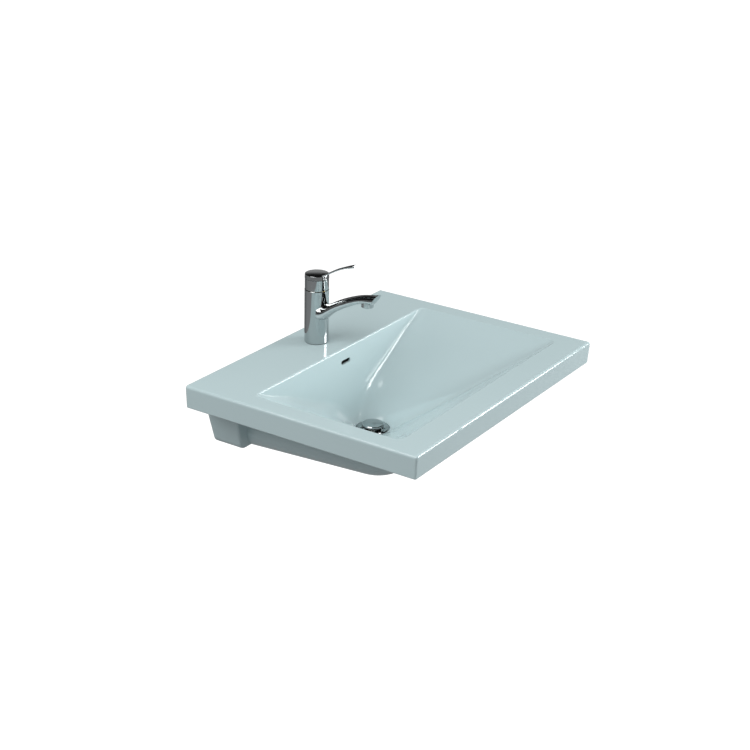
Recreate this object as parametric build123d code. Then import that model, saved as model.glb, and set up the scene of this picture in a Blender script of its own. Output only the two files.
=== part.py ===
from build123d import *
import math
import os

# Wall-hung basin with deck-mounted mixer tap and click waste.
# Millimetres.  X to the right seen from the front, the wall is the plane y = 0 and the
# front faces -Y, +Z up.  The origin lies on the wall, midway between the two fixing holes.

# basin: slab, bowl and underbody
RIM = 90.0                 # rim height above the fixing holes
SLAB_W = 650.0
SLAB_D = 500.0
APRON_H = 45.0             # visible edge height of the slab
APRON_DRAFT = 2.2          # how far the apron draws in at its foot
CORNER_R = 4.0
RIM_ROUND = 5.0            # rounding of the slab's top edge
FOOT_ROUND = 2.5           # rounding of the apron's foot

SIDE_RIM = 39.0            # rim width beside the bowl
TAP_DECK = 127.0           # deck between wall and bowl
FRONT_RIM = 57.0
BOWL_DEPTH = 150.0
BACK_LEAN = 24.0           # how far the bowl's back wall comes forward at the floor
LIP_ROUND = 3.5            # roll from the rim into the bowl

OUTLET_Y = -199.0          # centre of the waste outlet
OUTLET_FLAT_R = 36.0       # level rim round the waste flange

TUB_HALF_W = 227.0         # underbody half width
TUB_FRONT = -430.0
TUB_DEPTH = 152.0          # underbody depth below the rim at the wall side
TUB_RISE = 15.7            # how much the underbody climbs towards the front
TUB_SWEEP = 110.0          # length of the curve up to its front
TUB_ROUND = 37.0
HOPPER_LOW = 164.0         # underside of the hopper round the outlet, below the rim
HOPPER_HIGH = 120.0
HOPPER_LOW_R = 52.0
HOPPER_HIGH_R = 90.0

PAD_TOP_HALF_W = 273.0     # wall pads, half width at the apron's foot
PAD_FOOT_HALF_W = 242.0
PAD_TOP_D = 72.0           # how far they stand out from the wall
PAD_FOOT_D = 62.0
PAD_DEPTH = 146.0          # below the rim
PAD_ROUND = 20.0           # rounding of the foot's outer corners
PAD_EDGE = 5.0             # rounding of the front edges

BACK_WALL_T = 28.0         # ceramic round the fixing holes
FIX_SPACING = 280.0
FIX_HOLE_R = 9.0
DECK_T = 16.0
BAY_HALF_W = 200.0         # service bay behind the bowl, open below
BAY_FRONT = -113.0
NOTCH_HALF_W = 78.0        # gap in the back wall for the pipes
BAY_ROUND = 8.0

# overflow
SLOT_W = 30.0
SLOT_H = 8.0
SLOT_DROP = 26.0           # slot centre below the rim
DUCT_W = 26.0
DUCT_T = 8.0
DUCT_WALL = 6.0
DUCT_BACK = -104.0         # outside of the duct rib, towards the wall

# waste
FLANGE_R = 32.0
FLANGE_T = 3.0
SEAT_DROP = 4.5            # flange recess below the bowl floor
RECESS_GAP = 2.0
TOP_SEAL_T = 2.0
CUP_R = 23.0               # inside of the flange cup
CUP_WALL = 2.5
CUP_DEPTH = 5.7
TAIL_R = 20.95             # G 1 1/4 thread
TAIL_BORE = 17.0
TAIL_END = 238.0           # below the rim
OUTLET_BORE_R = 23.0
BOSS_R = 43.0
BOSS_DEPTH = 190.0         # underside of the outlet boss below the rim
LOW_SEAL_T = 4.0
LOW_SEAL_R = 33.0
SLIP_T = 2.0
NUT_T = 10.0
NUT_AF = 60.0
TRAP_THREAD_L = 30.0       # thread left for the trap's nut
RUNOUT_W = 1.6             # groove above that thread
RUNOUT_T = 0.75
SPIDER_H = 8.0
SPIDER_TOP = 198.0         # below the rim
SPIDER_RIB = 3.0
HUB_R = 8.0
CLICK_R = 8.0
CLICK_BORE = 6.2
CLICK_STUD_R = 5.0
CLICK_TOP = 164.0          # top of the click cartridge below the rim
PLUNGER_R = 4.0
PISTON_R = 6.05
PISTON_T = 3.0
PISTON_DROP = 172.0        # underside of the piston below the rim, plug open
PLUG_R = 21.5
PLUG_T = 3.4
PLUG_CROWN = 1.2
PLUG_TRAVEL = 9.0
PLUG_SEAL_T = 2.0
PLUG_SEAL_R = 20.6
PLUG_BOSS_R = 7.5
SPRING_WIRE = 0.55
SPRING_R = 4.6
SPRING_TURNS = 8

# tap
TAP_Y = -61.0
TAP_HOLE_R = 17.5
TAP_R = 24.0
TAP_H = 109.5
GASKET_T = 1.0
SEAT_H = 86.0              # cartridge seat above the rim
CART_R = 17.5
CART_CLEAR = 0.1
NUT_R = 20.5
NUT_SEAT_H = 97.0
INLET_X = 7.0
INLET_Y = -4.0             # from the tap axis
INLET_R = 5.0              # M10 x 1
INLET_L = 14.0
WATER_R = 3.5
STUD_Y = 12.5              # from the tap axis
STUD_R = 3.0
STUD_LOW = 52.0            # end of the stud below the rim
SHOE_R = 24.0
SHOE_SLOT_R = 14.0
SHOE_SLOT_Y = -7.0
SHOE_RUBBER_T = 3.0
SHOE_PLATE_T = 2.0
STUD_NUT_T = 6.0
STUD_NUT_AF = 10.0
THREAD_CLEAR = 0.03

# spout stations: y, underside z, top z, width (z above the rim)
SPOUT = (
    (-74.0, 46.0, 84.0, 45.0),
    (-86.0, 52.0, 82.0, 42.0),
    (-99.0, 64.0, 88.0, 37.0),
    (-120.0, 79.0, 100.0, 33.0),
    (-146.0, 93.0, 111.5, 30.0),
    (-172.0, 103.0, 119.8, 27.5),
    (-207.0, 110.0, 128.5, 25.0),
)
BEAK = ((-206.0, 127.9), (-193.5, 108.0))   # slanted end face, top and bottom point
AERATOR_Y = -180.0
AERATOR_R = 12.0
AERATOR_LOW = 98.0
AERATOR_H = 9.0
AERATOR_NECK_R = 9.4
AERATOR_NECK_H = 5.0
AERATOR_BORE = 8.0
INSERT_GAP = 0.1
NOZZLE_GAP = 0.3           # clearance of the spout round the aerator

# cartridge (heights above the rim)
SEAL_T = 1.0
PORT_Y = 5.0
PORT_X = 7.5
OUTPORT_Y = -9.0
HOUSE_FLOOR = 3.0
HOUSE_WALL = 2.0
SHOULDER_H = 104.0
NECK_R = 14.0
NECK_BORE = 11.9
FIXED_DISC_T = 4.0
MOVING_DISC_T = 4.0
MOVING_DISC_R = 12.4
DISC_OFFSET = 2.55         # the moving disc rests this far behind the axis
DISC_GAP = 0.05
CARRIER_T = 4.6
PIVOT_H = 120.0
ROTOR_R = 11.84
ROTOR_FLANGE_R = 15.2
ROTOR_TOP = 125.6
NECK_TOP = 125.0
SPINDLE_W = 7.0
TIP_H = 101.6
TIP_R = 3.0
PIN_R = 1.5
PIN_L = 21.0
RETAIN_T = 8.5             # nut height above the body top

# sleeve, cap and lever
SLEEVE_R = 23.6
SLEEVE_LOW = 110.5
SLEEVE_TOP = 132.0
SLEEVE_MOUTH = 18.0
SLEEVE_EDGE = 0.4
CAP_LOW = 132.5
CAP_TOP = 141.0
CAP_LOW_R = 24.0
CAP_TOP_R = 23.6
CAP_LIP = 0.3              # thickness of the cap's skirt at its mouth
CAP_CEILING_R = 20.4
CAP_PLATE = 2.7
CAP_CROWN = 0.4            # how much the top is domed
CAP_EDGE = 0.8
CAP_HUB_R = 7.5
CAP_HUB_LOW = 129.5
GRUB_R = 1.6
GRUB_H = 136.0
COVER_INSET = 0.3          # cover below the cap's skirt
COVER_T = 1.3
TILT_MAX = 16.0
# lever stations along the blade: y, z above the rim, width, thickness
BLADE = (
    (-70.0, 139.2, 15.0, 3.0),
    (-83.0, 142.4, 13.5, 3.8),
    (-98.0, 151.2, 12.0, 3.4),
    (-114.0, 159.8, 11.5, 3.3),
    (-131.0, 167.0, 11.5, 3.6),
    (-145.0, 171.6, 12.0, 5.0),
    (-151.5, 173.4, 10.0, 3.6),
)

os.makedirs("parts", exist_ok=True)


def put(part, name):
    """Write one node; a group of loose solids goes out as a compound."""
    solids = part.solids()
    shape = solids[0] if len(solids) == 1 else Compound(children=list(solids))
    shape.label = name
    export_step(shape, f"parts/{name}.step")
    return shape


def rod(x, y, z0, z1, r, r_top=None):
    """Upright cylinder, or cone, between two heights above the rim."""
    base = Plane((x, y, RIM + z0))
    if r_top is None:
        return extrude(base * Circle(r), z1 - z0)
    return loft([base * Circle(r), Plane((x, y, RIM + z1)) * Circle(r_top)])


def ring(x, y, z0, z1, r_out, r_in):
    return rod(x, y, z0, z1, r_out) - rod(x, y, z0 - 1, z1 + 1, r_in)


def block(x0, x1, y0, y1, z0, z1):
    """Box between two corners, z above the rim."""
    return Pos((x0 + x1) / 2, (y0 + y1) / 2, RIM + (z0 + z1) / 2) * Box(
        abs(x1 - x0), abs(y1 - y0), abs(z1 - z0))


def turned(points, y):
    """Solid of revolution from (radius, z above rim) points, round a vertical axis."""
    outline = Polyline(*[(r, 0, z) for r, z in points], close=True)
    body = revolve(make_face(outline), Axis.Z)
    return Pos(0, y, RIM) * body


def tube(points, r):
    """Round passage along straight runs with ball corners, in the plane x = const."""
    passage = None
    for a, b in zip(points, points[1:]):
        run = Vector(*b) - Vector(*a)
        piece = extrude(Plane(origin=a, z_dir=run) * Circle(r), run.length)
        passage = piece if passage is None else passage + piece
    for p in points[1:-1]:
        passage = passage + Pos(*p) * Sphere(r)
    return passage


def d_section(half_w, y_back, y_front, r_back, r_front, z):
    """Level section of the bowl: a rectangle whose back and front corners differ."""
    c = math.sqrt(0.5)
    xb, xf = half_w - r_back, half_w - r_front
    yb, yf = y_back - r_back, y_front + r_front
    pts = [
        ((-xb, y_back), (xb, y_back)),
        ((xb + r_back * c, yb + r_back * c),),
        ((half_w, yb), (half_w, yf)),
        ((xf + r_front * c, yf - r_front * c),),
        ((xf, y_front), (-xf, y_front)),
        ((-xf - r_front * c, yf - r_front * c),),
        ((-half_w, yf), (-half_w, yb)),
        ((-xb - r_back * c, yb + r_back * c),),
    ]
    edges = []
    for i, item in enumerate(pts):
        if len(item) == 2:
            edges.append(Line((*item[0], 0), (*item[1], 0)))
        else:
            start = pts[i - 1][1]
            end = pts[(i + 1) % len(pts)][0]
            edges.append(ThreePointArc((*start, 0), (*item[0], 0), (*end, 0)))
    return Pos(0, 0, RIM + z) * make_face(Wire(edges))


# Basin
def slab():
    """The flat slab: drafted apron, rounded top edge."""
    top = Pos(0, -SLAB_D / 2, RIM) * Rectangle(SLAB_W, SLAB_D)
    foot = Pos(0, -(SLAB_D - APRON_DRAFT) / 2, RIM - APRON_H) * Rectangle(
        SLAB_W - 2 * APRON_DRAFT, SLAB_D - APRON_DRAFT)
    body = loft([foot, top])
    uprights = body.edges().filter_by(lambda e: e.center().Y < -SLAB_D / 2 and
                                      abs(e.tangent_at(0.5).Z) > 0.9)
    body = fillet(uprights, CORNER_R)
    rim_edges = body.edges().group_by(Axis.Z)[-1].filter_by(lambda e: e.center().Y < -1)
    body = fillet(rim_edges, RIM_ROUND)
    foot_edges = body.edges().group_by(Axis.Z)[0].filter_by(lambda e: e.center().Y < -1)
    return fillet(foot_edges, FOOT_ROUND)


def bowl_sections():
    """Levels of the hopper bowl: steep back wall, long side slopes, sloping front."""
    half0 = SLAB_W / 2 - SIDE_RIM
    front0 = -(SLAB_D - FRONT_RIM)
    out = OUTLET_FLAT_R + 0.6
    rows = (
        # depth share, half width share, front share, back radius, front radius
        (0.000, 0.000, 0.000, 12.0, 16.0),
        (0.060, 0.055, 0.055, 18.0, 22.0),
        (0.167, 0.165, 0.160, 32.0, 34.0),
        (0.333, 0.330, 0.325, 54.0, 50.0),
        (0.500, 0.495, 0.490, 72.0, 60.0),
        (0.667, 0.665, 0.660, 84.0, 62.0),
        (0.800, 0.810, 0.800, 66.0, 50.0),
        (0.910, 0.925, 0.915, 48.0, 44.0),
        (1.000, 1.000, 1.000, out - 0.8, out - 0.8),
    )
    back0 = -TAP_DECK
    back1 = OUTLET_Y + out
    sections = []
    for depth, width, front, r_back, r_front in rows:
        half = half0 + (out - half0) * width
        y_front = front0 + (OUTLET_Y - out - front0) * front
        lean = BACK_LEAN * min(depth / 0.8, 1.0)
        y_back = back0 - lean
        if depth > 0.8:
            share = (depth - 0.8) / 0.2
            y_back += (back1 - y_back) * share ** 1.3
        sections.append(d_section(half, y_back, y_front, r_back, r_front,
                                  -BOWL_DEPTH * depth))
    return sections


def bowl():
    return loft(bowl_sections())


def tub():
    """Underbody below the slab, climbing gently to a rounded front."""
    top = -APRON_H / 2
    low_back = (-PAD_FOOT_D / 2, -TUB_DEPTH)
    low_front = (TUB_FRONT + TUB_SWEEP, -TUB_DEPTH + TUB_RISE)
    line = Line(low_back, low_front)
    sweep_up = TangentArc(low_front, (TUB_FRONT, -APRON_H - 2), tangent=line % 1)
    rest = Polyline((TUB_FRONT, -APRON_H - 2), (TUB_FRONT, top), (low_back[0], top), low_back)
    outline = make_face(Wire([line, sweep_up, *rest.edges()]))
    side = Plane(origin=(-TUB_HALF_W, 0, RIM), x_dir=(0, 1, 0), z_dir=(1, 0, 0)) * outline
    body = extrude(side, 2 * TUB_HALF_W)
    low_edges = body.edges().filter_by(
        lambda e: abs(abs(e.center().X) - TUB_HALF_W) < 0.1 and
        e.center().Z < RIM - APRON_H - 5 and abs(e.tangent_at(0.5).Z) < 0.97)
    return fillet(low_edges, TUB_ROUND)


def pads():
    """The ceramic that stands against the wall below the slab, drafted like the casting."""
    over = APRON_H / 2
    drop = PAD_DEPTH - APRON_H
    wide = PAD_TOP_HALF_W + (PAD_TOP_HALF_W - PAD_FOOT_HALF_W) * over / drop
    deep = PAD_TOP_D + (PAD_TOP_D - PAD_FOOT_D) * over / drop
    foot = Pos(0, -PAD_FOOT_D / 2, RIM - PAD_DEPTH) * Rectangle(2 * PAD_FOOT_HALF_W, PAD_FOOT_D)
    head = Pos(0, -deep / 2, RIM - APRON_H + over) * Rectangle(2 * wide, deep)
    body = loft([foot, head])
    feet = body.edges().group_by(Axis.Z)[0].filter_by(lambda e: abs(e.center().X) > 1)
    body = fillet(feet, PAD_ROUND)
    front = body.faces().filter_by(lambda f: f.normal_at().Y < -0.9)[0]
    return fillet(front.edges().sort_by(Axis.Z)[:-1], PAD_EDGE)


def service_bay():
    """The bay behind the bowl: room for the tap's nut, open below and to the pipes."""
    low = -TUB_DEPTH - 20
    front_low = BAY_FRONT - BACK_LEAN * 1.1
    profile = make_face(Polyline((-BACK_WALL_T, -DECK_T), (BAY_FRONT, -DECK_T),
                                 (front_low, low), (-BACK_WALL_T, low), close=True))
    side = Plane(origin=(-BAY_HALF_W, 0, RIM), x_dir=(0, 1, 0), z_dir=(1, 0, 0)) * profile
    bay = extrude(side, 2 * BAY_HALF_W)
    bay = fillet(bay.edges().filter_by(Axis.Z), BAY_ROUND)
    notch = block(-NOTCH_HALF_W, NOTCH_HALF_W, 1, -BACK_WALL_T - 1, -DECK_T - 24, low)
    notch = fillet(notch.edges().filter_by(Axis.Y).group_by(Axis.Z)[-1], BAY_ROUND)
    return bay + notch


def basin():
    body = slab() + tub() + pads()
    body += rod(0, OUTLET_Y, -HOPPER_LOW, -HOPPER_HIGH, HOPPER_LOW_R, HOPPER_HIGH_R)
    body = body - service_bay()
    # overflow duct rib down the back of the bowl and under the floor
    duct_half = DUCT_W / 2 + DUCT_WALL
    duct_low = BOSS_DEPTH - 5
    body += block(-duct_half, duct_half, DUCT_BACK, -TAP_DECK - BACK_LEAN, -DECK_T + 1, -duct_low)
    body += block(-duct_half, duct_half, DUCT_BACK, OUTLET_Y, -TUB_DEPTH + 20, -duct_low)
    boss_top = -BOWL_DEPTH + 10
    body += rod(0, OUTLET_Y, -BOSS_DEPTH, boss_top, BOSS_R)
    body -= bowl()
    mouth = body.faces().filter_by(lambda f: f.normal_at().Z > 0.99).sort_by(Axis.Z)[-1]
    lip = mouth.inner_wires()[0].edges()
    body = fillet(lip, LIP_ROUND)
    # outlet: flange recess, cup counterbore, bore
    seat = BOWL_DEPTH + SEAT_DROP
    body -= rod(0, OUTLET_Y, -seat, -BOWL_DEPTH + 1, FLANGE_R + RECESS_GAP)
    body -= rod(0, OUTLET_Y, -seat - CUP_DEPTH + 0.5, -seat + 1, CUP_R + CUP_WALL + 1)
    body -= rod(0, OUTLET_Y, -BOSS_DEPTH - 1, -seat, OUTLET_BORE_R)
    # overflow slot, duct down, duct forward into the outlet bore
    duct_y0 = DUCT_BACK - DUCT_WALL
    slot = Plane(origin=(0, duct_y0, RIM - SLOT_DROP), x_dir=(1, 0, 0), z_dir=(0, -1, 0))
    body -= extrude(slot * SlotOverall(SLOT_W, SLOT_H), TAP_DECK + duct_y0 + 12)
    run_low = -duct_low + DUCT_WALL
    body -= block(-DUCT_W / 2, DUCT_W / 2, duct_y0, duct_y0 - DUCT_T,
                  -SLOT_DROP + SLOT_H / 2, run_low)
    body -= block(-DUCT_W / 2, DUCT_W / 2, duct_y0, OUTLET_Y, run_low, run_low + DUCT_T)
    # tap hole and wall fixings
    body -= rod(0, TAP_Y, -DECK_T - 1, 1, TAP_HOLE_R)
    for x in (-FIX_SPACING / 2, FIX_SPACING / 2):
        plane = Plane(origin=(x, 1, 0), x_dir=(1, 0, 0), z_dir=(0, -1, 0))
        body -= extrude(plane * Circle(FIX_HOLE_R), BACK_WALL_T + 2)
    return body


# Waste
def waste():
    seat = -(BOWL_DEPTH + SEAT_DROP)
    top_seal_top = seat + TOP_SEAL_T
    flange_top = top_seal_top + FLANGE_T
    cup_floor = flange_top - CUP_DEPTH
    cup_r = CUP_R + CUP_WALL
    low = -BOSS_DEPTH
    thread_top = -TAIL_END + TRAP_THREAD_L

    body = turned([
        (TAIL_BORE, -TAIL_END), (TAIL_R, -TAIL_END), (TAIL_R, thread_top),
        (TAIL_R - RUNOUT_T, thread_top), (TAIL_R - RUNOUT_T, thread_top + RUNOUT_W),
        (TAIL_R, thread_top + RUNOUT_W), (TAIL_R, cup_floor - CUP_WALL),
        (cup_r, cup_floor - CUP_WALL + 2), (cup_r, top_seal_top), (FLANGE_R, top_seal_top),
        (FLANGE_R, top_seal_top + 1.2), (FLANGE_R - 2, flange_top), (CUP_R + 2, flange_top),
        (CUP_R, flange_top - 2), (CUP_R, cup_floor), (TAIL_BORE, cup_floor),
    ], OUTLET_Y)
    # overflow windows level with the duct in the boss
    window = block(-9, 9, OUTLET_Y - 40, OUTLET_Y + 40, low + 10, low + 24)
    body -= window & (rod(0, OUTLET_Y, low, low + 30, TAIL_R + 2) -
                      rod(0, OUTLET_Y, low - 1, low + 31, TAIL_BORE - 1))
    # spider that carries the click cartridge
    rib_len = TAIL_BORE + 0.5
    spider = rod(0, OUTLET_Y, -SPIDER_TOP - SPIDER_H, -SPIDER_TOP, HUB_R)
    for k in range(3):
        arm = Pos(rib_len / 2, 0, 0) * Box(rib_len, SPIDER_RIB, SPIDER_H)
        spider += Pos(0, OUTLET_Y, RIM - SPIDER_TOP - SPIDER_H / 2) * Rot(0, 0, 90 + 120 * k) * arm
    spider -= rod(0, OUTLET_Y, -SPIDER_TOP - SPIDER_H - 1, -SPIDER_TOP + 1, CLICK_STUD_R)
    body += spider
    put(body, "waste_body")

    put(ring(0, OUTLET_Y, seat, top_seal_top, FLANGE_R - 0.5, cup_r + 0.3), "waste_top_seal")
    put(ring(0, OUTLET_Y, low - LOW_SEAL_T, low, LOW_SEAL_R, TAIL_R + THREAD_CLEAR),
        "waste_lower_seal")
    slip_low = low - LOW_SEAL_T - SLIP_T
    put(ring(0, OUTLET_Y, slip_low, low - LOW_SEAL_T, LOW_SEAL_R, TAIL_R + THREAD_CLEAR),
        "waste_slip_washer")
    nut_face = Pos(0, OUTLET_Y, RIM + slip_low - NUT_T) * RegularPolygon(NUT_AF / 2, 6, major_radius=False)
    nut = extrude(nut_face, NUT_T) & rod(0, OUTLET_Y, slip_low - NUT_T, slip_low,
                                         NUT_AF / 2 / math.cos(math.pi / 6) - 1.5)
    nut -= rod(0, OUTLET_Y, slip_low - NUT_T - 1, slip_low + 1, TAIL_R + THREAD_CLEAR)
    put(nut, "waste_back_nut")

    # click cartridge
    stud_low = -SPIDER_TOP - SPIDER_H - 1.5
    housing = rod(0, OUTLET_Y, -SPIDER_TOP, -CLICK_TOP, CLICK_R)
    housing += rod(0, OUTLET_Y, stud_low, -SPIDER_TOP, CLICK_STUD_R - THREAD_CLEAR)
    housing -= rod(0, OUTLET_Y, -SPIDER_TOP + 2, -CLICK_TOP - 2, CLICK_BORE)
    housing -= rod(0, OUTLET_Y, -CLICK_TOP - 3, -CLICK_TOP + 1, PLUNGER_R + 0.1)
    put(housing, "click_housing")

    # plug: cap, seal and plunger, shown raised (open)
    lift = PLUG_TRAVEL
    seal_low = cup_floor + 0.1 + lift
    seal_top = seal_low + PLUG_SEAL_T
    cap_top = seal_top + PLUG_T
    cap = turned([
        (0, seal_top), (PLUG_SEAL_R - 2, seal_top), (PLUG_R - 0.4, seal_top),
        (PLUG_R, seal_top + 0.4), (PLUG_R, cap_top - 1.2), (PLUG_R - 1.2, cap_top),
        (PLUG_R * 0.6, cap_top + PLUG_CROWN * 0.7), (0, cap_top + PLUG_CROWN),
    ], OUTLET_Y)
    boss_low = seal_low - 6
    cap += ring(0, OUTLET_Y, boss_low, seal_top + 0.5, PLUG_BOSS_R, PLUNGER_R + THREAD_CLEAR)
    cap -= rod(0, OUTLET_Y, boss_low - 1, seal_top + 1, PLUNGER_R + THREAD_CLEAR)
    put(cap, "plug_cap")
    put(ring(0, OUTLET_Y, seal_low, seal_top, PLUG_SEAL_R, PLUG_BOSS_R), "plug_seal")
    plunger = rod(0, OUTLET_Y, -PISTON_DROP, seal_top + 1, PLUNGER_R)
    plunger += rod(0, OUTLET_Y, -PISTON_DROP, -PISTON_DROP + PISTON_T, PISTON_R)
    put(plunger, "click_plunger")

    spring_low = -SPIDER_TOP + 2
    height = -PISTON_DROP - spring_low - 2 * SPRING_WIRE - 0.2
    coil = Helix(pitch=height / SPRING_TURNS, height=height, radius=SPRING_R)
    wire = sweep(Plane(origin=coil @ 0, z_dir=coil % 0) * Circle(SPRING_WIRE), path=coil)
    put(Pos(0, OUTLET_Y, RIM + spring_low + SPRING_WIRE + 0.1) * wire, "click_spring")


# Tap body, spout and fixing
def spout():
    """Cast spout: level-sided oval sections from the body to the slanted beak."""
    faces = []
    for y, low, top, width in SPOUT:
        plane = Plane(origin=(0, y, RIM + (low + top) / 2), x_dir=(1, 0, 0), z_dir=(0, -1, 0))
        faces.append(plane * Ellipse(width / 2, (top - low) / 2))
    body = loft(faces)
    (y_top, z_top), (y_low, z_low) = BEAK
    y_over, z_over = 2 * y_top - y_low, 2 * z_top - z_low
    away = make_face(Polyline((y_over, z_over), (y_low, z_low), (y_low, z_low - 30),
                              (y_over - 40, z_low - 30), (y_over - 40, z_over), close=True))
    side = Plane(origin=(-30, 0, RIM), x_dir=(0, 1, 0), z_dir=(1, 0, 0)) * away
    return body - extrude(side, 60)


def tap_body():
    body = rod(0, TAP_Y, GASKET_T, TAP_H, TAP_R)
    body = fillet(body.edges().group_by(Axis.Z)[0], 0.8)
    body = chamfer(body.edges().group_by(Axis.Z)[-1], 0.6)
    body += spout()
    socket_top = AERATOR_LOW + AERATOR_H + AERATOR_NECK_H + 0.5
    body += rod(0, AERATOR_Y, AERATOR_LOW + AERATOR_H, socket_top, AERATOR_R)
    body -= rod(0, AERATOR_Y, AERATOR_LOW - AERATOR_H, AERATOR_LOW + AERATOR_H,
                AERATOR_R + NOZZLE_GAP)
    body -= rod(0, TAP_Y, SEAT_H, TAP_H + 1, CART_R + CART_CLEAR)
    body -= rod(0, TAP_Y, NUT_SEAT_H, TAP_H + 1, NUT_R + THREAD_CLEAR)
    # inlets, slanted passages to the seat
    for side in (-1, 1):
        x = side * INLET_X
        y = TAP_Y + INLET_Y
        body -= rod(x, y, GASKET_T - 1, GASKET_T + INLET_L, INLET_R)
        body -= tube([(x, y, RIM + GASKET_T + INLET_L - 1),
                      (side * PORT_X, TAP_Y + PORT_Y, RIM + SEAT_H + 1)], WATER_R)
    # outlet passage along the spout's middle to the aerator socket
    y_out = TAP_Y + OUTPORT_Y
    middle = [(y, RIM + (low + top) / 2) for y, low, top, width in SPOUT]
    body -= tube([(0, y_out, RIM + SEAT_H + 1), (0, y_out, middle[1][1]),
                  *[(0, y, z) for y, z in middle[2:5]],
                  (0, AERATOR_Y + 3, RIM + socket_top - 2.6)], WATER_R)
    body -= rod(0, AERATOR_Y, AERATOR_LOW + AERATOR_H - 1, socket_top, AERATOR_NECK_R + THREAD_CLEAR)
    body -= rod(0, TAP_Y + STUD_Y, GASKET_T - 1, GASKET_T + INLET_L, STUD_R + THREAD_CLEAR)
    return body


def tap_fixing():
    gasket = ring(0, TAP_Y, 0, GASKET_T, TAP_R - 1.2, TAP_HOLE_R - 1)
    put(gasket, "tap_base_gasket")
    stud_y = TAP_Y + STUD_Y
    put(rod(0, stud_y, -STUD_LOW, GASKET_T + INLET_L - 1, STUD_R), "tap_stud")

    def shoe(z0, z1):
        plate = rod(0, TAP_Y, z0, z1, SHOE_R)
        slot_y = TAP_Y + SHOE_SLOT_Y
        plate -= rod(0, slot_y, z0 - 1, z1 + 1, SHOE_SLOT_R)
        plate -= block(-SHOE_SLOT_R, SHOE_SLOT_R, slot_y, slot_y - 40, z0 - 1, z1 + 1)
        return plate - rod(0, stud_y, z0 - 1, z1 + 1, STUD_R + THREAD_CLEAR)

    rubber_low = -DECK_T - SHOE_RUBBER_T
    plate_low = rubber_low - SHOE_PLATE_T
    put(shoe(rubber_low, -DECK_T), "tap_shoe_rubber")
    put(shoe(plate_low, rubber_low), "tap_shoe_plate")
    hexagon = Pos(0, stud_y, RIM + plate_low - STUD_NUT_T) * RegularPolygon(
        STUD_NUT_AF / 2, 6, major_radius=False)
    nut = extrude(hexagon, STUD_NUT_T)
    nut -= rod(0, stud_y, plate_low - STUD_NUT_T - 1, plate_low + 1, STUD_R + THREAD_CLEAR)
    put(nut, "tap_stud_nut")


def aerator():
    top = AERATOR_LOW + AERATOR_H
    shell = rod(0, AERATOR_Y, AERATOR_LOW, top, AERATOR_R)
    shell = fillet(shell.edges().group_by(Axis.Z)[0], 1.0)
    shell += rod(0, AERATOR_Y, top, top + AERATOR_NECK_H, AERATOR_NECK_R)
    shell -= rod(0, AERATOR_Y, AERATOR_LOW - 1, top + AERATOR_NECK_H + 1, AERATOR_BORE)
    shell -= rod(0, AERATOR_Y, AERATOR_LOW - 1, top - 1, AERATOR_R - 2)
    put(shell, "aerator_housing")
    insert_r = AERATOR_R - 2 - INSERT_GAP
    insert = rod(0, AERATOR_Y, AERATOR_LOW + 1, top - 1, insert_r)
    cells = [(x * 3.4 + (3.4 / 2 if j % 2 else 0), j * 3.0)
             for j in range(-2, 3) for x in range(-2, 3)]
    holes = [p for p in cells if math.hypot(*p) < insert_r - 2]
    for x, y in holes:
        insert -= block(x - 1.1, x + 1.1, AERATOR_Y + y - 1.0, AERATOR_Y + y + 1.0,
                        AERATOR_LOW, AERATOR_LOW + 5)
    put(insert, "aerator_insert")
    put(ring(0, AERATOR_Y, top + AERATOR_NECK_H, top + AERATOR_NECK_H + 0.5,
             AERATOR_NECK_R, AERATOR_BORE - 1), "aerator_seal")


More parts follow.
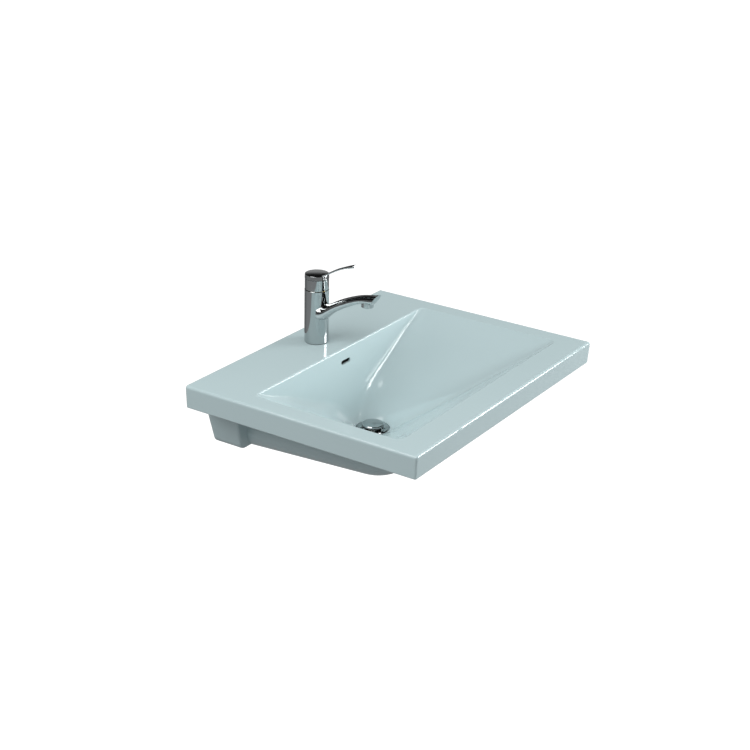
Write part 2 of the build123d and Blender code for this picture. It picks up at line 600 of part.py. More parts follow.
# Cartridge
def cartridge():
    floor_low = SEAT_H + SEAL_T
    floor_top = floor_low + HOUSE_FLOOR
    ports = [(-PORT_X, PORT_Y), (PORT_X, PORT_Y), (0, OUTPORT_Y)]

    seals = None
    for x, y in ports:
        one = ring(x, TAP_Y + y, SEAT_H, floor_low, WATER_R + 1.8, WATER_R)
        seals = one if seals is None else Compound(children=[*seals.solids(), *one.solids()])
    put(seals, "cartridge_seals")

    housing = rod(0, TAP_Y, floor_low, SHOULDER_H, CART_R)
    housing += rod(0, TAP_Y, SHOULDER_H - 1, NECK_TOP, NECK_R)
    inner_r = CART_R - HOUSE_WALL
    housing -= rod(0, TAP_Y, floor_top, SHOULDER_H - 0.4 + 0.2, inner_r)
    housing -= rod(0, TAP_Y, SHOULDER_H - 2, NECK_TOP + 1, NECK_BORE)
    for x, y in ports:
        housing -= rod(x, TAP_Y + y, floor_low - 1, floor_top + 1, WATER_R)
    put(housing, "cartridge_housing")

    fixed_top = floor_top + FIXED_DISC_T
    fixed = rod(0, TAP_Y, floor_top, fixed_top, inner_r - 0.1)
    for x, y in ports:
        fixed -= rod(x, TAP_Y + y, floor_top - 1, fixed_top + 1, WATER_R - 0.3)
    put(fixed, "fixed_disc")

    disc_y = TAP_Y + DISC_OFFSET
    disc_low = fixed_top + DISC_GAP
    disc_top = disc_low + MOVING_DISC_T
    disc = rod(0, disc_y, disc_low, disc_top, MOVING_DISC_R)
    disc -= rod(0, disc_y - 3, disc_low - 1, disc_low + 2, 6.0)
    put(disc, "moving_disc")

    carrier_top = disc_top + CARRIER_T
    carrier = rod(0, disc_y, disc_top, carrier_top, MOVING_DISC_R)
    pocket = TIP_R + 0.1
    carrier -= block(-pocket, pocket, TAP_Y - pocket, TAP_Y + pocket, TIP_H - TIP_R - 0.2,
                     carrier_top + 1)
    put(carrier, "disc_carrier")

    # rotor: flange over the carrier, stem through the neck, slot for the spindle
    rotor_low = carrier_top + 0.15
    flange_top = SHOULDER_H - 0.35
    rotor = rod(0, TAP_Y, rotor_low, flange_top, ROTOR_FLANGE_R)
    rotor += rod(0, TAP_Y, rotor_low, ROTOR_TOP, ROTOR_R)
    half = SPINDLE_W / 2 + 0.1
    run_low = (PIVOT_H - rotor_low + 1) * math.tan(math.radians(TILT_MAX)) + half + 0.4
    run_top = (ROTOR_TOP + 1 - PIVOT_H) * math.tan(math.radians(TILT_MAX)) + half + 0.4
    slot = make_face(Polyline(
        (TAP_Y + half, rotor_low - 1), (TAP_Y - run_low, rotor_low - 1),
        (TAP_Y - half - 0.5, PIVOT_H), (TAP_Y - half, ROTOR_TOP + 1),
        (TAP_Y + run_top, ROTOR_TOP + 1), (TAP_Y + half + 0.5, PIVOT_H), close=True))
    side = Plane(origin=(-half, 0, RIM), x_dir=(0, 1, 0), z_dir=(1, 0, 0)) * slot
    rotor -= extrude(side, 2 * half)
    across = Plane(origin=(-PIN_L / 2 - 2, TAP_Y, RIM + PIVOT_H), x_dir=(0, 1, 0), z_dir=(1, 0, 0))
    rotor -= extrude(across * Circle(PIN_R), PIN_L + 4)
    put(rotor, "cartridge_rotor")
    pin_plane = Plane(origin=(-PIN_L / 2, TAP_Y, RIM + PIVOT_H), x_dir=(0, 1, 0), z_dir=(1, 0, 0))
    put(extrude(pin_plane * Circle(PIN_R - 0.01), PIN_L), "spindle_pin")

    # spindle: square shank, waisted foot with a round tip
    top = CAP_TOP - CAP_PLATE - 0.3
    spindle = block(-SPINDLE_W / 2, SPINDLE_W / 2, TAP_Y - SPINDLE_W / 2, TAP_Y + SPINDLE_W / 2,
                    carrier_top + 3, top)
    spindle += block(-TIP_R, TIP_R, TAP_Y - 2.5, TAP_Y + 2.5, TIP_H, carrier_top + 4)
    tip = Plane(origin=(-TIP_R, TAP_Y, RIM + TIP_H), x_dir=(0, 1, 0), z_dir=(1, 0, 0))
    spindle += extrude(tip * Circle(TIP_R), 2 * TIP_R)
    spindle -= extrude(across * Circle(PIN_R + 0.03), PIN_L + 4)
    put(spindle, "spindle")

    # retaining nut, threaded into the body and carrying the sleeve
    nut_top = TAP_H + RETAIN_T
    nut_low = NUT_SEAT_H + 0.5
    nut = rod(0, TAP_Y, nut_low, nut_top, NUT_R)
    nut -= rod(0, TAP_Y, nut_low - 1, SHOULDER_H, CART_R + CART_CLEAR)
    nut -= rod(0, TAP_Y, SHOULDER_H - 1, nut_top + 1, NECK_R + 0.2)
    for k in range(2):
        bar = Pos(0, 0, 0) * Box(2 * NUT_R + 2, 4, 3)
        nut -= Pos(0, TAP_Y, RIM + nut_top - 1.5 + 0.01) * Rot(0, 0, 45 + 90 * k) * bar
    put(nut, "cartridge_nut")


# Sleeve, cap and lever
def sleeve():
    body = turned([
        (NUT_R + 0.05, SLEEVE_LOW), (SLEEVE_R, SLEEVE_LOW),
        (SLEEVE_R, SLEEVE_TOP - SLEEVE_EDGE),
        (SLEEVE_R - SLEEVE_EDGE, SLEEVE_TOP), (SLEEVE_MOUTH, SLEEVE_TOP),
        (SLEEVE_MOUTH, SLEEVE_TOP - 2.5), (NUT_R + 0.05, SLEEVE_TOP - 5.5),
    ], TAP_Y)
    put(body, "cartridge_sleeve")


def blade():
    """Thin lever that leaves the cap's front and arches up to a thicker tip."""
    faces = []
    n = len(BLADE)
    for i, (y, z, width, thick) in enumerate(BLADE):
        a = BLADE[max(i - 1, 0)]
        b = BLADE[min(i + 1, n - 1)]
        run = Vector(0, b[0] - a[0], b[1] - a[1]).normalized()
        plane = Plane(origin=(0, y, RIM + z), x_dir=(1, 0, 0), z_dir=run)
        faces.append(plane * RectangleRounded(width, thick, thick * 0.42))
    return loft(faces)


def cap():
    """The lever's round head, with its domed top and softened edge."""
    flat_r, flat_z = CAP_TOP_R - CAP_EDGE, CAP_TOP - CAP_CROWN
    c = CAP_EDGE * (1 - math.sqrt(0.5))
    sides = Polyline((0, 0, CAP_TOP), (0, 0, CAP_LOW), (CAP_LOW_R, 0, CAP_LOW),
                     (CAP_TOP_R, 0, flat_z - CAP_EDGE))
    edge = ThreePointArc((CAP_TOP_R, 0, flat_z - CAP_EDGE), (CAP_TOP_R - c, 0, flat_z - c),
                         (flat_r, 0, flat_z))
    crown = ThreePointArc((flat_r, 0, flat_z), (flat_r / 2, 0, CAP_TOP - CAP_CROWN / 4),
                          (0, 0, CAP_TOP))
    outline = make_face(Wire([*sides.edges(), edge, crown]))
    return Pos(0, TAP_Y, RIM) * revolve(outline, Axis.Z)


def lever():
    ceiling = CAP_TOP - CAP_PLATE
    body = cap() + blade()
    # hollow cap: its skirt swings down outside the sleeve when the lever is raised
    body -= turned([
        (0, CAP_LOW - 2), (CAP_LOW_R - CAP_LIP, CAP_LOW - 2), (CAP_LOW_R - CAP_LIP, CAP_LOW),
        (CAP_CEILING_R, ceiling), (0, ceiling),
    ], TAP_Y)
    body += rod(0, TAP_Y, CAP_HUB_LOW, ceiling + 0.5, CAP_HUB_R)
    half = SPINDLE_W / 2 + 0.03
    body -= block(-half, half, TAP_Y - half, TAP_Y + half, CAP_HUB_LOW - 1, ceiling - 0.2)
    # grub screw in the hub, reached through a small hole at the rear with a cover
    back = Plane(origin=(0, TAP_Y + 2, RIM + GRUB_H), x_dir=(1, 0, 0), z_dir=(0, 1, 0))
    body -= extrude(back * Circle(GRUB_R + THREAD_CLEAR), CAP_HUB_R)
    rear = Plane(origin=(0, TAP_Y + CAP_HUB_R + 4, RIM + GRUB_H), x_dir=(1, 0, 0), z_dir=(0, 1, 0))
    body -= extrude(rear * Circle(GRUB_R + 0.2), 20)
    put(body, "lever")
    start = Plane(origin=(0, TAP_Y + half, RIM + GRUB_H), x_dir=(1, 0, 0), z_dir=(0, 1, 0))
    put(extrude(start * Circle(GRUB_R), CAP_HUB_R - half), "lever_grub_screw")
    inside = TAP_Y + CAP_LOW_R - COVER_INSET - COVER_T
    cover = Plane(origin=(0, inside, RIM + GRUB_H), x_dir=(1, 0, 0), z_dir=(0, 1, 0))
    put(extrude(cover * Circle(GRUB_R + 0.17), COVER_T), "lever_screw_cover")


put(basin(), "basin")
waste()
put(tap_body(), "tap_body")
tap_fixing()
aerator()
cartridge()
sleeve()
lever()
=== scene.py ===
"""Looks of a wall-hung ceramic basin with a lever mixer tap and a click waste."""

import logging
import math
from dataclasses import dataclass, field
from enum import Enum
from typing import Callable, Iterable, Optional, Sequence, Union

import bmesh
import bpy
from mathutils import Matrix, Vector


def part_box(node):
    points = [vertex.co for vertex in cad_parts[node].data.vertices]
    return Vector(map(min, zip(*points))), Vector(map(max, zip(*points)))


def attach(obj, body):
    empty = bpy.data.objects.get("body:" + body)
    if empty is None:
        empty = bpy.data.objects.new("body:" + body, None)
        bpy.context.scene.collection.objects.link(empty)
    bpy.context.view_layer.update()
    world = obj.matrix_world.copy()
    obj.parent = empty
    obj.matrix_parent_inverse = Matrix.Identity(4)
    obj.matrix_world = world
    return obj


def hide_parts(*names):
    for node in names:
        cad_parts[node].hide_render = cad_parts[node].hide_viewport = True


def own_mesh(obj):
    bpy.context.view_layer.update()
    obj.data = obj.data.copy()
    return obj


log = logging.getLogger("basin")
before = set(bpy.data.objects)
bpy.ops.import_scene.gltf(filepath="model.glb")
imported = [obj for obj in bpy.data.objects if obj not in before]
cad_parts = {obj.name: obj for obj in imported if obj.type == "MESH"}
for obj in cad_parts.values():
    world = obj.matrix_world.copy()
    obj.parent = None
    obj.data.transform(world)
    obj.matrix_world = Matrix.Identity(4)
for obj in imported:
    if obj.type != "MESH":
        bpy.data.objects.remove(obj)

MM = 0.001
RIM = 90.0 * MM            # rim height above the fixing holes
TAP_Y = -61.0 * MM
OUTLET_Y = -199.0 * MM
Number = Union[int, float]


# --------------------------------------------------------------------------------------
# Shader maths
# --------------------------------------------------------------------------------------
class Sock:
    """A shader socket that can be used in Python expressions."""

    def __init__(self, shader: "Shader", socket: bpy.types.NodeSocket) -> None:
        """Wraps a socket.

        Args:
            shader: The shader that the socket's node belongs to.
            socket: The output socket.
        """
        self.shader = shader
        self.socket = socket

    def _math(self, operation: str, a: "Term", b: Optional["Term"] = None,
              clamp: bool = False) -> "Sock":
        """Adds one Math node and returns its value."""
        inputs = {0: a} if b is None else {0: a, 1: b}
        return self.shader.add("ShaderNodeMath", {"operation": operation, "use_clamp": clamp},
                               inputs)

    def __add__(self, other: "Term") -> "Sock":
        """Sum."""
        return self._math("ADD", self, other)

    __radd__ = __add__

    def __sub__(self, other: "Term") -> "Sock":
        """Difference."""
        return self._math("SUBTRACT", self, other)

    def __rsub__(self, other: "Term") -> "Sock":
        """Reflected difference."""
        return self._math("SUBTRACT", other, self)

    def __mul__(self, other: "Term") -> "Sock":
        """Product."""
        return self._math("MULTIPLY", self, other)

    __rmul__ = __mul__

    def __truediv__(self, other: "Term") -> "Sock":
        """Quotient."""
        return self._math("DIVIDE", self, other)

    def __lt__(self, other: "Term") -> "Sock":
        """1 where this is less."""
        return self._math("LESS_THAN", self, other)

    def __gt__(self, other: "Term") -> "Sock":
        """1 where this is greater."""
        return self._math("GREATER_THAN", self, other)

    def abs(self) -> "Sock":
        """Absolute value."""
        return self._math("ABSOLUTE", self)

    def clamp(self) -> "Sock":
        """The value held between 0 and 1."""
        return self._math("ADD", self, 0.0, clamp=True)

    def fract(self) -> "Sock":
        """The part after the decimal point."""
        return self._math("FRACT", self)

    def power(self, exponent: "Term") -> "Sock":
        """The value raised to a power."""
        return self._math("POWER", self, exponent)


Term = Union[Sock, Number]


class Shader:
    """A node material under construction."""

    def __init__(self, name: str) -> None:
        """Starts an empty material.

        Args:
            name: The material's name.
        """
        self.material = bpy.data.materials.new(name)
        self.material.use_nodes = True
        self.tree = self.material.node_tree
        self.tree.nodes.clear()
        self.coords = self.add("ShaderNodeTexCoord", {}, {}, output="Object")

    def add(self, kind: str, settings: dict, inputs: dict, output: Union[int, str] = 0) -> Sock:
        """Adds a node, sets it up and links it.

        Args:
            kind: The node's type name.
            settings: Node settings, set before the inputs. The key "stops" fills a ramp.
            inputs: Values or Socks by input name or number.
            output: The output to return.

        Returns:
            The chosen output as a Sock.
        """
        node = self.tree.nodes.new(kind)
        for key, value in settings.items():
            if key == "stops":
                ramp = node.color_ramp
                while len(ramp.elements) < len(value):
                    ramp.elements.new(0.5)
                for element, (place, colour) in zip(ramp.elements, value):
                    element.position = place
                    element.color = colour if len(colour) == 4 else (*colour, 1.0)
            else:
                setattr(node, key, value)
        for key, value in inputs.items():
            socket = node.inputs[key]
            if isinstance(value, Sock):
                self.tree.links.new(value.socket, socket)
            else:
                socket.default_value = value
        return Sock(self, node.outputs[output])

    def axes(self, source: Optional[Sock] = None) -> tuple[Sock, Sock, Sock]:
        """The X, Y and Z of a vector, by default of the Object coordinates, in metres."""
        vector = source or self.coords
        node = self.tree.nodes.new("ShaderNodeSeparateXYZ")
        self.tree.links.new(vector.socket, node.inputs[0])
        return tuple(Sock(self, node.outputs[i]) for i in range(3))

    def noise(self, scale: float, detail: float = 3.0, roughness: float = 0.5,
              stretch: Sequence[float] = (1.0, 1.0, 1.0)) -> Sock:
        """Smooth noise from 0 to 1 on Object coordinates.

        Args:
            scale: Cells per metre.
            detail: Octaves.
            roughness: Weight of the finer octaves.
            stretch: Scale of each axis.

        Returns:
            The noise value.
        """
        placed = self.add("ShaderNodeMapping", {}, {"Vector": self.coords, "Scale": tuple(stretch)})
        return self.add("ShaderNodeTexNoise", {}, {"Vector": placed, "Scale": scale,
                                                   "Detail": detail, "Roughness": roughness})

    def blend(self, factor: Term, a: Union[Sock, Sequence[float]],
              b: Union[Sock, Sequence[float]]) -> Sock:
        """Mixes two colours.

        Args:
            factor: 0 for a, 1 for b.
            a: First colour.
            b: Second colour.

        Returns:
            The mixed colour.
        """
        def colour(c: Union[Sock, Sequence[float]]) -> Union[Sock, tuple]:
            return c if isinstance(c, Sock) else (*c[:3], 1.0)
        return self.add("ShaderNodeMix", {"data_type": "RGBA"},
                        {0: factor, 6: colour(a), 7: colour(b)}, output=2)

    def ramp(self, value: Sock, stops: Sequence[tuple]) -> Sock:
        """Colour ramp of a value."""
        return self.add("ShaderNodeValToRGB", {"stops": stops}, {0: value})

    def bump(self, height: Term, depth: float, strength: float = 1.0,
             normal: Optional[Sock] = None) -> Sock:
        """A bumped normal.

        Args:
            height: The height map, from 0 to 1.
            depth: The height's size in metres.
            strength: How much of the bump shows.
            normal: A normal to bump further.

        Returns:
            The normal.
        """
        inputs = {"Height": height, "Distance": depth, "Strength": strength}
        if normal is not None:
            inputs["Normal"] = normal
        return self.add("ShaderNodeBump", {}, inputs)

    def surface(self, **inputs: Union[Sock, Number, Sequence[float]]) -> bpy.types.Material:
        """Closes the material with a Principled shader.

        Args:
            **inputs: Its sockets, with spaces written as underscores.

        Returns:
            The finished material.
        """
        out = self.tree.nodes.new("ShaderNodeOutputMaterial")
        shader = self.add("ShaderNodeBsdfPrincipled", {},
                          {key.replace("_", " "): value for key, value in inputs.items()})
        self.tree.links.new(shader.socket, out.inputs["Surface"])
        return self.material


# --------------------------------------------------------------------------------------
# Finishes
# --------------------------------------------------------------------------------------
@dataclass(frozen=True)
class Glaze:
    """Glossy sanitary glaze over the casting, with bare bisque where it meets the wall."""

    colour: tuple = (0.548, 0.680, 0.698)
    shade: tuple = (0.533, 0.666, 0.686)
    bisque: tuple = (0.64, 0.61, 0.55)
    painted_duct_shade: tuple = (0.03, 0.032, 0.032)  # painted shade: near black for the dark inside the overflow slot and duct, which are bare clay
    slot_z: float = 64.0 * MM
    slot_y: float = -129.0 * MM
    gloss: float = 0.11

    def material(self) -> bpy.types.Material:
        """Builds the glaze.

        Returns:
            The material.
        """
        s = Shader("glaze")
        x, y, z = s.axes()
        cloud = s.noise(5.0, detail=2.0)
        fine = s.noise(900.0, detail=4.0, roughness=0.7)
        grain = s.noise(2600.0, detail=2.0)
        edge = s.noise(160.0, detail=3.0) * 0.0004
        wall = (y + edge) > -0.0003
        foot = ((z + edge) < -0.0555) * (y > -0.0615)
        bare = (wall + foot).clamp()
        glazed = s.blend(cloud, self.colour, self.shade)
        raw = s.blend(fine, self.bisque, tuple(c * 0.86 for c in self.bisque))
        peel = s.noise(85.0, detail=1.0)
        wave = s.bump(peel, 0.00008, strength=0.12)
        rough = s.bump(grain, 0.0004, strength=bare * 0.6, normal=wave)
        # painted shade: the overflow slot and duct are coloured near black for the dark of the recess,
        # and made rougher as bare clay
        inside = ((x.abs() < 0.0155) * ((z - self.slot_z).abs() < 0.0045) * (y > self.slot_y)
                  * (y < -0.104)).clamp()
        return s.surface(
            Base_Color=s.blend(inside, s.blend(bare, glazed, raw), self.painted_duct_shade),
            Roughness=self.gloss + cloud * 0.03 + bare * 0.62 + inside * 0.5,
            Normal=rough, IOR=1.52, Coat_Weight=0.2, Coat_Roughness=0.09,
            Specular_IOR_Level=0.5)


@dataclass(frozen=True)
class Chrome:
    """Polished chrome plate, with the faint waviness of a buffed casting."""

    name: str = "chrome"
    colour: tuple = (0.56, 0.585, 0.59)
    gloss: float = 0.045
    thread: Optional[tuple] = None      # (low z, high z, pitch, least radius, y of axis)

    def material(self) -> bpy.types.Material:
        """Builds the chrome.

        Returns:
            The material.
        """
        s = Shader(self.name)
        haze = s.noise(60.0, detail=3.0, roughness=0.6)
        swirl = s.noise(1400.0, detail=2.0, stretch=(1.0, 1.0, 0.08))
        normal = s.bump(s.noise(34.0, detail=1.0), 0.0001, strength=0.15)
        if self.thread:
            normal = thread_bump(s, self.thread, normal)
        return s.surface(
            Base_Color=s.blend(haze, self.colour, tuple(c * 0.97 for c in self.colour)),
            Metallic=1.0, Roughness=self.gloss + haze * 0.025 + swirl * 0.01, Normal=normal)


@dataclass(frozen=True)
class TurnedMetal:
    """Bare machined metal with fine lathe marks."""

    name: str
    colour: tuple
    stain: tuple
    roughness: float = 0.28
    thread: Optional[tuple] = None

    def material(self) -> bpy.types.Material:
        """Builds the metal.

        Returns:
            The material.
        """
        s = Shader(self.name)
        marks = s.noise(2400.0, detail=2.0, stretch=(0.05, 0.05, 1.0))
        cloud = s.noise(140.0, detail=3.0)
        normal = s.bump(marks, 0.00006, strength=0.5)
        if self.thread:
            normal = thread_bump(s, self.thread, normal)
        return s.surface(Base_Color=s.blend(cloud, self.colour, self.stain), Metallic=1.0,
                         Roughness=self.roughness + marks * 0.12, Normal=normal)


@dataclass(frozen=True)
class Rubber:
    """Moulded rubber with a dusty bloom."""

    name: str
    colour: tuple
    roughness: float = 0.66

    def material(self) -> bpy.types.Material:
        """Builds the rubber.

        Returns:
            The material.
        """
        s = Shader(self.name)
        bloom = s.noise(220.0, detail=4.0, roughness=0.65)
        grain = s.noise(3200.0, detail=2.0)
        pale = tuple(min(1.0, c * 1.35 + 0.012) for c in self.colour)
        return s.surface(Base_Color=s.blend(bloom, self.colour, pale),
                         Roughness=self.roughness + bloom * 0.15,
                         Normal=s.bump(grain, 0.00005, strength=0.5))


@dataclass(frozen=True)
class Moulding:
    """Moulded plastic with a fine spark-eroded texture."""

    name: str
    colour: tuple
    roughness: float = 0.42

    def material(self) -> bpy.types.Material:
        """Builds the plastic.

        Returns:
            The material.
        """
        s = Shader(self.name)
        flow = s.noise(90.0, detail=2.0)
        grain = s.noise(4200.0, detail=2.0)
        return s.surface(Base_Color=s.blend(flow, self.colour, tuple(c * 0.93 for c in self.colour)),
                         Roughness=self.roughness + grain * 0.1,
                         Normal=s.bump(grain, 0.00003, strength=0.5), IOR=1.46)


@dataclass(frozen=True)
class LappedCeramic:
    """Lapped alumina of the cartridge's two discs."""

    colour: tuple = (0.86, 0.84, 0.79)

    def material(self) -> bpy.types.Material:
        """Builds the ceramic.

        Returns:
            The material.
        """
        s = Shader("lapped_ceramic")
        grain = s.noise(1800.0, detail=3.0)
        return s.surface(Base_Color=s.blend(grain, self.colour, tuple(c * 0.95 for c in self.colour)),
                         Roughness=0.24 + grain * 0.12,
                         Normal=s.bump(grain, 0.00002, strength=0.4), IOR=1.7)


def thread_bump(s: Shader, thread: tuple, normal: Sock) -> Sock:
    """A helical thread between two heights, as a bump.

    Args:
        s: The shader.
        thread: Low z, high z, pitch, least radius and the axis's y, in metres.
        normal: The normal to bump further.

    Returns:
        The normal with the thread on it.
    """
    low, high, pitch, least, axis_y = thread
    x, y, z = s.axes()
    turn = s.add("ShaderNodeMath", {"operation": "ARCTAN2"}, {0: y - axis_y, 1: x})
    climb = (z / pitch + turn * (1 / (2 * math.pi))).fract()
    tooth = 1.0 - (climb * 2.0 - 1.0).abs()
    radius = (x * x + (y - axis_y) * (y - axis_y)).power(0.5)
    mask = (z > low) * (z < high) * (radius > least)
    return s.bump(tooth * mask, pitch * 0.55, strength=1.0, normal=normal)


class Finish(Enum):
    """The finishes of the object's pieces."""

    GLAZE = Glaze()
    CHROME = Chrome()
    WASTE_CHROME = Chrome("waste_chrome",
                          thread=((90 - 237.5) * MM, (90 - 191) * MM, 2.309 * MM, 20.4 * MM, OUTLET_Y))
    BRASS = TurnedMetal("brass", (0.72, 0.53, 0.24), (0.62, 0.44, 0.19))
    STEEL = TurnedMetal("zinc_steel", (0.60, 0.61, 0.60), (0.52, 0.53, 0.53), 0.3)
    STUD = TurnedMetal("stud_steel", (0.60, 0.61, 0.60), (0.50, 0.51, 0.52), 0.3,
                       thread=((90 - 52) * MM, 89 * MM, 1.0 * MM, 2.7 * MM, TAP_Y + 12.5 * MM))
    RUBBER = Rubber("black_rubber", (0.018, 0.018, 0.019))
    GREY_RUBBER = Rubber("grey_rubber", (0.12, 0.125, 0.13), 0.55)
    WHITE_PLASTIC = Moulding("white_plastic", (0.78, 0.78, 0.75))
    GREY_PLASTIC = Moulding("grey_plastic", (0.20, 0.22, 0.24))
    DISC = LappedCeramic()


class Workshop:
    """Keeps one material for each finish and dresses nodes and pieces with them."""

    def __init__(self) -> None:
        """Starts with no materials made."""
        self._made: dict[Finish, bpy.types.Material] = {}

    def material(self, finish: Finish) -> bpy.types.Material:
        """The material of a finish, made on first use."""
        if finish not in self._made:
            self._made[finish] = finish.value.material()
        return self._made[finish]

    def dress(self, node: str, finish: Finish) -> bpy.types.Object:
        """Gives a carried-over node its finish.

        Args:
            node: The node's name.
            finish: Its finish.

        Returns:
            The node's object.
        """
        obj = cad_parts[node]
        obj.data.materials.clear()
        obj.data.materials.append(self.material(finish))
        log.info("node %s: %s", node, finish.name)
        return obj


# --------------------------------------------------------------------------------------
# Sub-assemblies
# --------------------------------------------------------------------------------------
@dataclass
class Basin:
    """The ceramic casting."""

    shop: Workshop

    def build(self) -> None:
        """Dresses the casting."""
        self.shop.dress("basin", Finish.GLAZE)


@dataclass
class Waste:
    """Flange, tail, seals, nut and the click plug."""

    shop: Workshop
    wire_r: float = 0.55 * MM
    wire_sides: int = 12
    coils: int = 8
    coil_steps: int = 28
    plug_travel: float = 9.0 * MM

    def build(self) -> None:
        """Dresses the waste's pieces."""
        self.shop.dress("waste_body", Finish.WASTE_CHROME)
        self.shop.dress("plug_cap", Finish.CHROME)
        self.shop.dress("waste_back_nut", Finish.BRASS)
        for node in ("waste_top_seal", "waste_lower_seal"):
            self.shop.dress(node, Finish.RUBBER)
        self.shop.dress("plug_seal", Finish.GREY_RUBBER)
        for node in ("waste_slip_washer", "click_housing", "click_plunger"):
            self.shop.dress(node, Finish.WHITE_PLASTIC)
        self.spring()

    def spring(self) -> bpy.types.Object:
        """Coils the click spring to the height of the carried-over spring.

        Returns:
            The spring.
        """
        low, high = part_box("click_spring")
        mesh = bmesh.new()
        ring = bmesh.ops.create_circle(mesh, segments=self.wire_sides, radius=self.wire_r)["verts"]
        bmesh.ops.rotate(mesh, verts=ring, matrix=Matrix.Rotation(math.pi / 2, 3, "X"))
        bmesh.ops.translate(mesh, verts=ring,
                            vec=((high.x - low.x) / 2 - self.wire_r, OUTLET_Y,
                                 low.z + self.wire_r))
        count = self.coils * self.coil_steps
        rise = (high.z - low.z - 2 * self.wire_r) / count
        bmesh.ops.spin(mesh, geom=ring + list(mesh.edges), cent=(0.0, OUTLET_Y, 0.0),
                       axis=(0.0, 0.0, 1.0), dvec=(0.0, 0.0, rise),
                       angle=2 * math.pi * self.coils, steps=count)
        bmesh.ops.holes_fill(mesh, edges=[e for e in mesh.edges if e.is_boundary], sides=0)
        bmesh.ops.recalc_face_normals(mesh, faces=mesh.faces)
        for face in mesh.faces:
            face.smooth = len(face.verts) == 4
        data = bpy.data.meshes.new("coiled_spring")
        mesh.to_mesh(data)
        mesh.free()
        data.materials.append(self.shop.material(Finish.STEEL))
        coil = bpy.data.objects.new("coiled_spring", data)
        bpy.context.scene.collection.objects.link(coil)
        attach(coil, "basin_and_fittings")
        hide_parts("click_spring")
        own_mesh(coil)
        log.info("piece %s: %d coils", coil.name, self.coils)
        return coil


@dataclass
class Tap:
    """Body, spout, aerator, sleeve and lever, and what holds the tap to the deck."""

    shop: Workshop

    def build(self) -> None:
        """Dresses the tap's pieces."""
        for node in ("tap_body", "cartridge_sleeve", "lever", "aerator_housing"):
            self.shop.dress(node, Finish.CHROME)
        self.shop.dress("aerator_insert", Finish.WHITE_PLASTIC)
        self.shop.dress("tap_stud", Finish.STUD)
        for node in ("tap_shoe_plate", "lever_grub_screw"):
            self.shop.dress(node, Finish.STEEL)
        self.shop.dress("tap_stud_nut", Finish.BRASS)
        for node in ("tap_base_gasket", "tap_shoe_rubber"):
            self.shop.dress(node, Finish.RUBBER)
        self.shop.dress("aerator_seal", Finish.GREY_RUBBER)
        self.shop.dress("lever_screw_cover", Finish.GREY_PLASTIC)


@dataclass
class Cartridge:
    """The ceramic-disc cartridge inside the tap."""

    shop: Workshop

    def build(self) -> None:
        """Dresses the cartridge's pieces."""
        for node in ("cartridge_housing", "disc_carrier"):
            self.shop.dress(node, Finish.GREY_PLASTIC)
        self.shop.dress("cartridge_rotor", Finish.WHITE_PLASTIC)
        for node in ("fixed_disc", "moving_disc"):
            self.shop.dress(node, Finish.DISC)
        self.shop.dress("cartridge_seals", Finish.GREY_RUBBER)
        for node in ("cartridge_nut", "spindle"):
            self.shop.dress(node, Finish.BRASS)
        self.shop.dress("spindle_pin", Finish.STEEL)


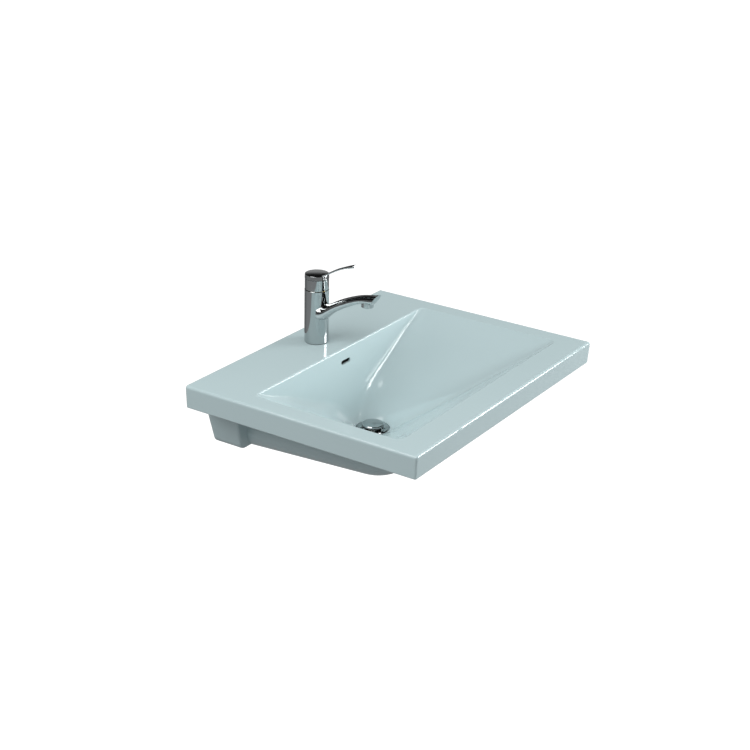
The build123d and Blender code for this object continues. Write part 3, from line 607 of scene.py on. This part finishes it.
# --------------------------------------------------------------------------------------
# Studio
# --------------------------------------------------------------------------------------
@dataclass
class Studio:
    """Camera, floor, world and lamps."""

    place: tuple = (-2.31014, -1.70517, 1.22342)
    right: tuple = (0.553836, -0.832296, 0.02345)
    up: tuple = (0.313694, 0.234665, 0.92007)
    ahead: tuple = (0.771273, 0.502211, -0.391052)
    focal_px: float = 1547.76
    image_px: float = 750.0
    floor_z: float = -0.76
    ambient: float = 0.52
    # the lit strip of backdrop that mirrors see: degrees up and light
    backdrop: tuple = ((11.0, 0.006), (14.0, 0.34), (17.0, 0.36), (21.0, 0.010), (80.0, 0.010))
    floor_colour: tuple = (0.22, 0.225, 0.23)
    floor_fill: float = 0.97
    floor_mirrored: float = 0.09
    floor_dark: tuple = (0.3, 1.3)     # how far behind the basin the floor darkens for mirrors

    def camera(self) -> None:
        """Sets the camera where the photograph was taken from."""
        data = bpy.data.cameras.new("camera")
        data.sensor_width = 36.0
        data.lens = self.focal_px / self.image_px * 36.0
        data.clip_start, data.clip_end = 0.05, 100.0
        cam = bpy.data.objects.new("camera", data)
        bpy.context.scene.collection.objects.link(cam)
        columns = [Vector(self.right), Vector(self.up), -Vector(self.ahead)]
        turn = Matrix([[columns[c][r] for c in range(3)] for r in range(3)])
        cam.matrix_world = Matrix.Translation(Vector(self.place)) @ turn.to_4x4()
        bpy.context.scene.camera = cam

    def floor(self) -> None:
        """A pale floor under the basin, white to the camera but for the shadow."""
        mesh = bmesh.new()
        bmesh.ops.create_grid(mesh, x_segments=1, y_segments=1, size=30.0)
        bmesh.ops.translate(mesh, vec=(0.0, 0.0, self.floor_z), verts=mesh.verts)
        data = bpy.data.meshes.new("floor")
        mesh.to_mesh(data)
        mesh.free()
        obj = bpy.data.objects.new("floor", data)
        bpy.context.scene.collection.objects.link(obj)
        s = Shader("floor")
        path = s.tree.nodes.new("ShaderNodeLightPath")
        x, y, z = s.axes()
        behind = ((x * self.ahead[0] + y * self.ahead[1] - self.floor_dark[0])
                  / (self.floor_dark[1] - self.floor_dark[0])).clamp()
        mirrored = (Sock(s, path.outputs["Is Glossy Ray"])
                    + Sock(s, path.outputs["Is Transmission Ray"])).clamp()
        seen = (Sock(s, path.outputs["Is Camera Ray"])
                + mirrored * (self.floor_mirrored - behind * self.floor_mirrored)).clamp()
        out = s.tree.nodes.new("ShaderNodeOutputMaterial")
        plain = s.add("ShaderNodeBsdfDiffuse", {}, {"Color": (*self.floor_colour, 1.0)})
        glow = s.add("ShaderNodeEmission", {}, {"Color": (1.0, 1.0, 1.0, 1.0),
                                                "Strength": seen * self.floor_fill})
        both = s.add("ShaderNodeAddShader", {}, {0: plain, 1: glow})
        s.tree.links.new(both.socket, out.inputs["Surface"])
        data.materials.append(s.material)

    def world(self) -> None:
        """Even pale light; mirrors see a bright horizon under a dark ceiling."""
        world = bpy.data.worlds.new("studio")
        bpy.context.scene.world = world
        world.use_nodes = True
        tree = world.node_tree
        tree.nodes.clear()
        path = tree.nodes.new("ShaderNodeLightPath")
        where = tree.nodes.new("ShaderNodeTexCoord")
        split = tree.nodes.new("ShaderNodeSeparateXYZ")
        tree.links.new(where.outputs["Generated"], split.inputs[0])
        climb = tree.nodes.new("ShaderNodeValToRGB")
        tree.links.new(split.outputs["Z"], climb.inputs[0])
        climb.color_ramp.interpolation = "EASE"
        while len(climb.color_ramp.elements) < len(self.backdrop):
            climb.color_ramp.elements.new(0.5)
        for element, (height, light) in zip(climb.color_ramp.elements, self.backdrop):
            element.position = math.sin(math.radians(height))
            element.color = (light, light, light, 1.0)
        level: bpy.types.NodeSocket = None
        for ray, value in (("Is Glossy Ray", climb.outputs[0]), ("Is Camera Ray", 1.0)):
            mix = tree.nodes.new("ShaderNodeMix")
            mix.data_type = "FLOAT"
            if level is None:
                mix.inputs[2].default_value = self.ambient
            else:
                tree.links.new(level, mix.inputs[2])
            if isinstance(value, float):
                mix.inputs[3].default_value = value
            else:
                tree.links.new(value, mix.inputs[3])
            tree.links.new(path.outputs[ray], mix.inputs[0])
            level = mix.outputs[0]
        back = tree.nodes.new("ShaderNodeBackground")
        out = tree.nodes.new("ShaderNodeOutputWorld")
        back.inputs["Color"].default_value = (1.0, 1.0, 1.0, 1.0)
        tree.links.new(level, back.inputs["Strength"])
        tree.links.new(back.outputs[0], out.inputs["Surface"])

    def lamp(self, name: str, place: tuple, aim: tuple, size: tuple, watts: float) -> None:
        """One soft area lamp.

        Args:
            name: The lamp's name.
            place: Where it hangs.
            aim: The point that it faces.
            size: Width and height.
            watts: Power.
        """
        data = bpy.data.lights.new(name, "AREA")
        data.shape = "RECTANGLE"
        data.size, data.size_y = size
        data.energy = watts
        obj = bpy.data.objects.new(name, data)
        obj.location = place
        obj.rotation_mode = "QUATERNION"
        obj.rotation_quaternion = (Vector(aim) - Vector(place)).to_track_quat("-Z", "Y")
        bpy.context.scene.collection.objects.link(obj)

    def build(self) -> None:
        """Sets up the whole studio."""
        self.camera()
        self.floor()
        self.world()
        centre = (0.0, -0.25, 0.05)
        self.lamp("front", (2.1, -2.4, 0.85), centre, (1.4, 1.4), 66.0)
        self.lamp("side", (-1.9, 0.4, 2.25), centre, (2.2, 2.2), 47.5)
        self.lamp("key", (0.45, -1.45, 2.15), centre, (0.4, 0.4), 1.6)
        view = bpy.context.scene.view_settings
        view.view_transform = "Standard"


def main() -> None:
    """Builds everything in order."""
    logging.basicConfig(level=logging.INFO, format="%(name)s: %(message)s")
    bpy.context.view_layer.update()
    shop = Workshop()
    Studio().build()
    for part in (Basin(shop), Waste(shop), Tap(shop), Cartridge(shop)):
        part.build()
        log.info("built %s", type(part).__name__)


if __name__ == "__main__":
    main()
